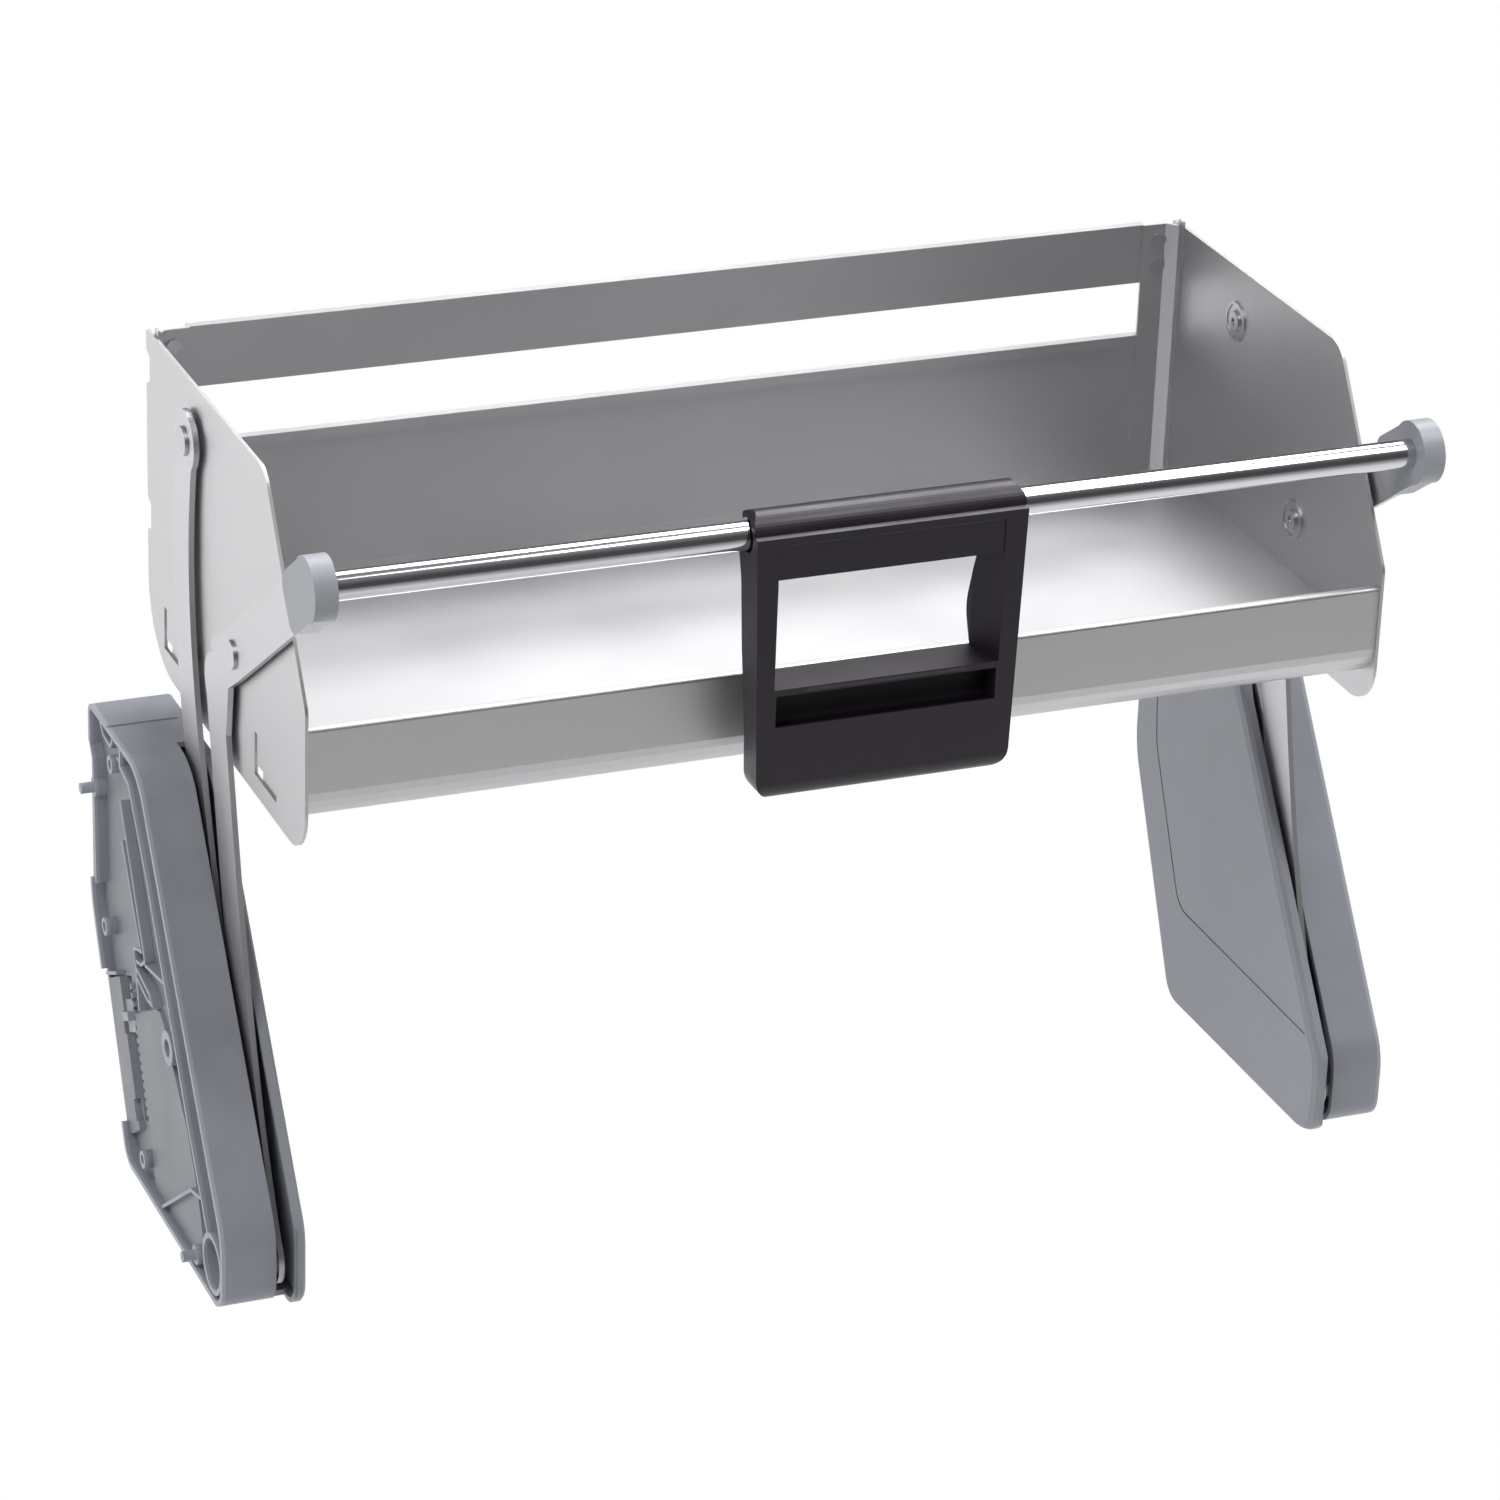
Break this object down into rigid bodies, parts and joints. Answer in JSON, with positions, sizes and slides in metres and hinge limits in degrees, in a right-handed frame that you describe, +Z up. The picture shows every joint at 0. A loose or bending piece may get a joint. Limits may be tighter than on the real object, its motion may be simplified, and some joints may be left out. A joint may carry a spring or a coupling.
{
  "type": "pull-down shelf system",
  "caption": "Pull-down shelf for a wall cabinet: a sheet-steel basket on parallel lift arms between two side cases, with a cross bar and hanging handle.",
  "frame": {"origin": "middle of the whole width and depth (bar and handle included), on the bottom plane of the cases", "axes": "+X to the right seen from the front, +Y to the back of the cabinet, +Z up"},
  "size_m": [0.574, 0.2597, 0.381],
  "materials": {
    "case_plastic": "fine grained grey plastic",
    "bright_steel": "bright zinc-plated steel",
    "light_plastic": "light grey acetal",
    "dark_plastic": "black plastic",
    "rubber": "soft black rubber",
    "arm_steel": "silver coated steel",
    "sheet_steel": "silver coated steel sheet",
    "bar_chrome": "satin chrome",
    "handle_plastic": "charcoal plastic"
  },
  "bodies": {
    "cases": {"left_housing": "case_plastic", "right_housing": "case_plastic", "left_cover": "case_plastic", "right_cover": "case_plastic", "left_bearing_plate": "bright_steel", "right_bearing_plate": "bright_steel", "plate_screws": "bright_steel", "left_front_case_pin": "bright_steel", "right_front_case_pin": "bright_steel", "left_shaft_bush": "light_plastic", "right_shaft_bush": "light_plastic", "left_assist_spring": "bright_steel", "right_assist_spring": "bright_steel", "left_damper_body": "dark_plastic", "right_damper_body": "dark_plastic", "left_damper_lid": "dark_plastic", "right_damper_lid": "dark_plastic", "end_buffers": "rubber"},
    "left_adjuster": {"left_load_adjuster": "light_plastic"},
    "right_adjuster": {"right_load_adjuster": "light_plastic"},
    "front_arms": {"left_front_arm": "arm_steel", "right_front_arm": "arm_steel", "left_arm_bush": "light_plastic", "right_arm_bush": "light_plastic", "handle_bar": "bar_chrome", "left_bar_cap": "light_plastic", "right_bar_cap": "light_plastic", "bar_screws": "bright_steel"},
    "rear_arms": {"left_rear_arm": "arm_steel", "right_rear_arm": "arm_steel", "left_rear_shaft": "bright_steel", "right_rear_shaft": "bright_steel", "left_spring_crank": "bright_steel", "right_spring_crank": "bright_steel", "left_damper_rotor": "light_plastic", "right_damper_rotor": "light_plastic"},
    "basket": {"left_side_panel": "sheet_steel", "right_side_panel": "sheet_steel", "tray_floor": "sheet_steel", "tray_front": "sheet_steel", "cross_channel": "sheet_steel", "rear_rail": "sheet_steel", "left_corner_post": "sheet_steel", "right_corner_post": "sheet_steel", "basket_rivets": "bright_steel", "pivot_rivets": "bright_steel", "pivot_spacers": "light_plastic", "pivot_bosses": "bright_steel"},
    "handle": {"handle_frame": "handle_plastic", "handle_grip_strip": "handle_plastic", "handle_clip_liner": "rubber"}
  },
  "joints": [
    {"name": "front_arm_pivot", "type": "hinge", "parent": "cases", "child": "front_arms", "pos_m": [0, -0.064, 0.018], "axis": [1, 0, 0], "range_deg": [0, 105]},
    {"name": "rear_arm_pivot", "type": "hinge", "parent": "cases", "child": "rear_arms", "pos_m": [0, 0.005, 0.089], "axis": [1, 0, 0], "range_deg": [0, 105], "deforming": ["left_assist_spring", "right_assist_spring"]},
    {"name": "basket_pivot", "type": "hinge", "parent": "front_arms", "child": "basket", "pos_m": [0, -0.012, 0.282], "axis": [1, 0, 0], "range_deg": [-105, 0]},
    {"name": "handle_pivot", "type": "hinge", "parent": "front_arms", "child": "handle", "pos_m": [0, -0.11601, 0.3549], "axis": [1, 0, 0], "range_deg": [-105, 0]},
    {"name": "left_load_setting", "type": "slide", "parent": "cases", "child": "left_adjuster", "axis": [0, 0.4277, 0.9039], "range_m": [-0.036, 0.008], "deforming": ["left_assist_spring"]},
    {"name": "right_load_setting", "type": "slide", "parent": "cases", "child": "right_adjuster", "axis": [0, 0.4277, 0.9039], "range_m": [-0.036, 0.008], "deforming": ["right_assist_spring"]}
  ],
  "couplings": [
    {"joint": "rear_arm_pivot", "follows": "front_arm_pivot", "ratio": 1},
    {"joint": "basket_pivot", "follows": "front_arm_pivot", "ratio": -1},
    {"joint": "handle_pivot", "follows": "front_arm_pivot", "ratio": -1}
  ]
}
